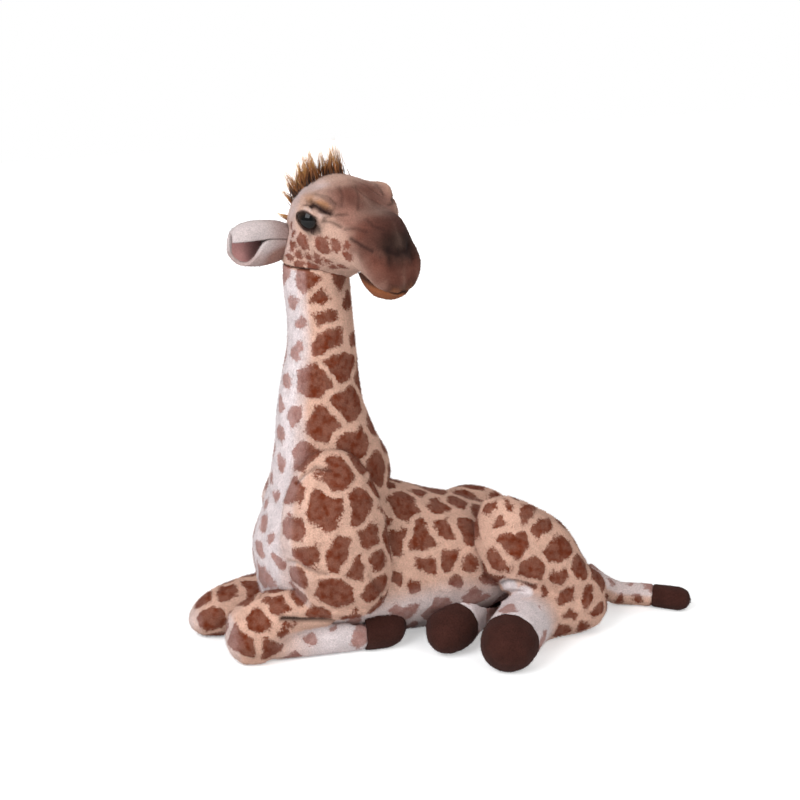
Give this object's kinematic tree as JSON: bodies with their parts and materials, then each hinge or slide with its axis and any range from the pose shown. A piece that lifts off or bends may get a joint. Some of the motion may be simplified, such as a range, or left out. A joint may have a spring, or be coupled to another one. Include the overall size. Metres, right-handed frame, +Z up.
{
  "type": "plush giraffe",
  "caption": "Plush toy giraffe lying down with folded legs, upright neck, turned head, glossy eyes, tufted mane and short tail; a soft toy that rests on its flat belly.",
  "frame": {"origin": "on the floor, on the flat patch of belly that the toy rests on, on the middle line of the body", "axes": "+Z up, -X towards the chest and +X towards the tail, +Y towards the toy's right side"},
  "size_m": [0.3448, 0.1838, 0.3374],
  "materials": {
    "spotted_plush": "short soft pile with a printed net of brown spots",
    "pale_plush": "short soft pile",
    "brown_plush": "short soft pile",
    "hoof_plush": "short dense pile",
    "mane_pile": "long straight pile",
    "ear_lining": "smooth velour",
    "polyester_filling": "loose fibre",
    "pouch_cloth": "plain woven cloth round plastic pellets",
    "eye_plastic": "polished",
    "washer_plastic": "moulded"
  },
  "bodies": {
    "torso": {"torso_skin": "spotted_plush", "torso_filling": "polyester_filling", "pellet_pouch": "pouch_cloth", "hindleg_right_thigh": "spotted_plush", "hindleg_right_thigh_filling": "polyester_filling"},
    "neck": {"neck_skin": "spotted_plush", "neck_filling": "polyester_filling"},
    "head": {"head_skin": "spotted_plush", "head_filling": "polyester_filling", "mane": "mane_pile", "lower_jaw": "brown_plush", "eye_left": "eye_plastic", "eye_right": "eye_plastic", "eye_washer_left": "washer_plastic", "eye_washer_right": "washer_plastic", "eyelid_left": "brown_plush", "eyelid_right": "brown_plush"},
    "ear_left": {"ear_left": "pale_plush", "ear_lining_left": "ear_lining"},
    "ear_right": {"ear_right": "pale_plush", "ear_lining_right": "ear_lining"},
    "foreleg_left": {"foreleg_left_upper": "spotted_plush", "foreleg_left_upper_filling": "polyester_filling", "foreleg_left_forearm": "spotted_plush", "foreleg_left_forearm_filling": "polyester_filling", "foreleg_left_cannon": "pale_plush", "foreleg_left_hoof": "hoof_plush", "foreleg_left_lower_filling": "polyester_filling"},
    "foreleg_right": {"foreleg_right_upper": "spotted_plush", "foreleg_right_upper_filling": "polyester_filling", "foreleg_right_forearm": "spotted_plush", "foreleg_right_forearm_filling": "polyester_filling", "foreleg_right_cannon": "pale_plush", "foreleg_right_hoof": "hoof_plush", "foreleg_right_lower_filling": "polyester_filling"},
    "hindleg_left": {"hindleg_left_thigh": "spotted_plush", "hindleg_left_thigh_filling": "polyester_filling", "hindleg_left_shank": "spotted_plush", "hindleg_left_hoof": "hoof_plush", "hindleg_left_lower_filling": "polyester_filling"},
    "hindleg_right": {"hindleg_right_shank": "spotted_plush", "hindleg_right_hoof": "hoof_plush", "hindleg_right_lower_filling": "polyester_filling"},
    "tail": {"tail": "spotted_plush", "tail_tip": "hoof_plush", "tail_filling": "polyester_filling"}
  },
  "joints": [
    {"name": "neck_bend", "type": "hinge", "parent": "torso", "child": "neck", "pos_m": [-0.087, 0, 0.092], "axis": [0, 1, 0], "range_deg": [-6, 6], "stiffness_Nm_per_rad": 1.5},
    {"name": "head_turn", "type": "hinge", "parent": "neck", "child": "head", "pos_m": [-0.08, 0, 0.285], "axis": [0, 0, 1], "range_deg": [-20, 20], "stiffness_Nm_per_rad": 0.3},
    {"name": "ear_left_flap", "type": "hinge", "parent": "head", "child": "ear_left", "pos_m": [-0.06248, 0.02194, 0.27828], "axis": [-0.0156, -0.156, 0.9876], "range_deg": [-15, 15], "stiffness_Nm_per_rad": 0.06},
    {"name": "ear_right_flap", "type": "hinge", "parent": "head", "child": "ear_right", "pos_m": [-0.10784, 0.00361, 0.27828], "axis": [-0.1196, 0.1014, -0.9876], "range_deg": [-15, 15], "stiffness_Nm_per_rad": 0.06},
    {"name": "foreleg_left_lift", "type": "hinge", "parent": "torso", "child": "foreleg_left", "pos_m": [-0.094, -0.022, 0.134], "axis": [-1, 0, 0], "range_deg": [0, 14], "stiffness_Nm_per_rad": 0.8},
    {"name": "foreleg_right_lift", "type": "hinge", "parent": "torso", "child": "foreleg_right", "pos_m": [-0.084, 0.022, 0.134], "axis": [1, 0, 0], "range_deg": [0, 14], "stiffness_Nm_per_rad": 0.8},
    {"name": "hindleg_left_lift", "type": "hinge", "parent": "torso", "child": "hindleg_left", "pos_m": [0.055, -0.026, 0.098], "axis": [-1, 0, 0], "range_deg": [0, 12], "stiffness_Nm_per_rad": 0.8},
    {"name": "hindleg_right_swing", "type": "hinge", "parent": "torso", "child": "hindleg_right", "pos_m": [0.089, 0.042, 0], "axis": [0, 0, -1], "range_deg": [0, 3], "stiffness_Nm_per_rad": 1},
    {"name": "tail_swing", "type": "hinge", "parent": "torso", "child": "tail", "pos_m": [0.092, -0.004, 0.034], "axis": [0, 0, 1], "range_deg": [-10, 25], "stiffness_Nm_per_rad": 0.1}
  ]
}
